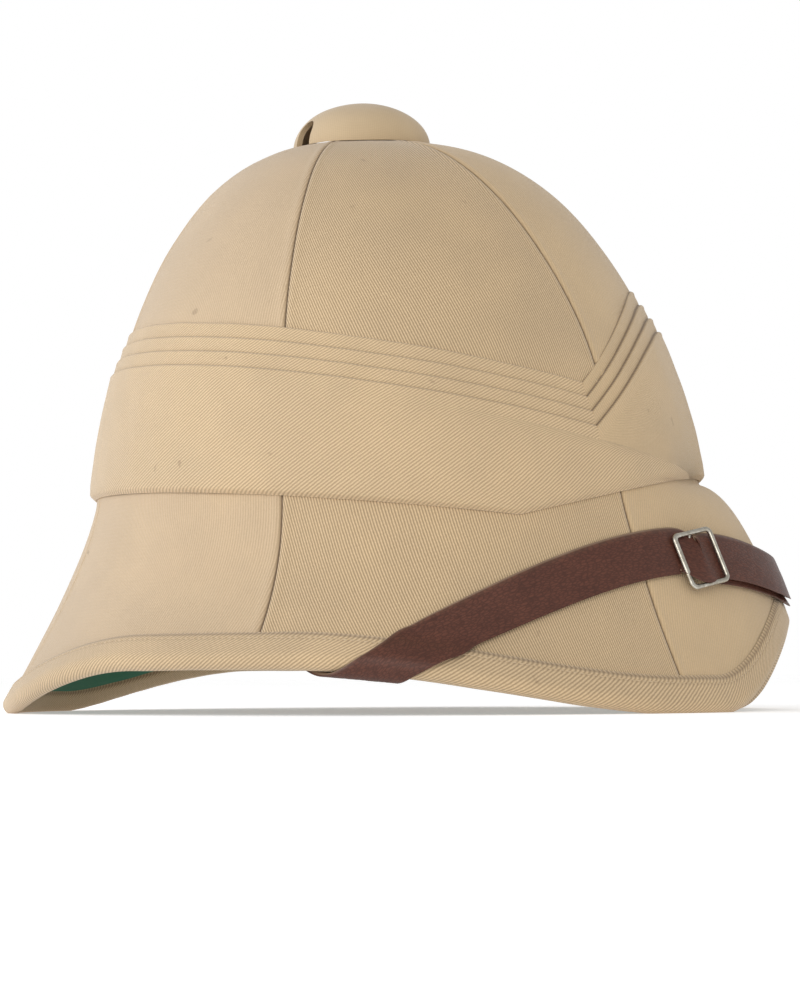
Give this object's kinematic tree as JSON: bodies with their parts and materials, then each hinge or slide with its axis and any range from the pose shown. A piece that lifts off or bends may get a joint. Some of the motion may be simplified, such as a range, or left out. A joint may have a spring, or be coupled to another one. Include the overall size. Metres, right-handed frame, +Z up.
{
  "type": "pith helmet",
  "caption": "Cloth-covered pith helmet with a panelled crown, tucked wrap band, vent cap, bound brim, green under-brim lining and leather chin strap with a slider.",
  "frame": {"origin": "on the surface that the helmet stands on, below the middle of its box", "axes": "+X towards the wearer's front, +Y towards the wearer's left, +Z up through the vent cap"},
  "size_m": [0.3205, 0.2694, 0.2471],
  "materials": {
    "khaki_twill": "matt cotton twill over cork",
    "khaki_wrap": "matt cotton twill, tucked",
    "khaki_binding": "matt cotton twill cut on the bias",
    "khaki_cap": "matt plain cotton",
    "green_lining": "matt green cotton",
    "brown_leather": "semi-gloss grained",
    "plated_steel": "plated, brushed"
  },
  "bodies": {
    "root": {"panel_front": "khaki_twill", "panel_right_front": "khaki_twill", "panel_right_rear": "khaki_twill", "panel_back": "khaki_twill", "panel_left_rear": "khaki_twill", "panel_left_front": "khaki_twill", "brim_binding": "khaki_binding", "brim_lining": "green_lining", "puggaree_wrap": "khaki_wrap", "puggaree_front": "khaki_wrap", "vent_cap": "khaki_cap", "chin_strap": "brown_leather", "strap_return": "brown_leather", "slider_buckle": "plated_steel", "strap_stud_right": "plated_steel", "strap_stud_left": "plated_steel"}
  },
  "joints": []
}
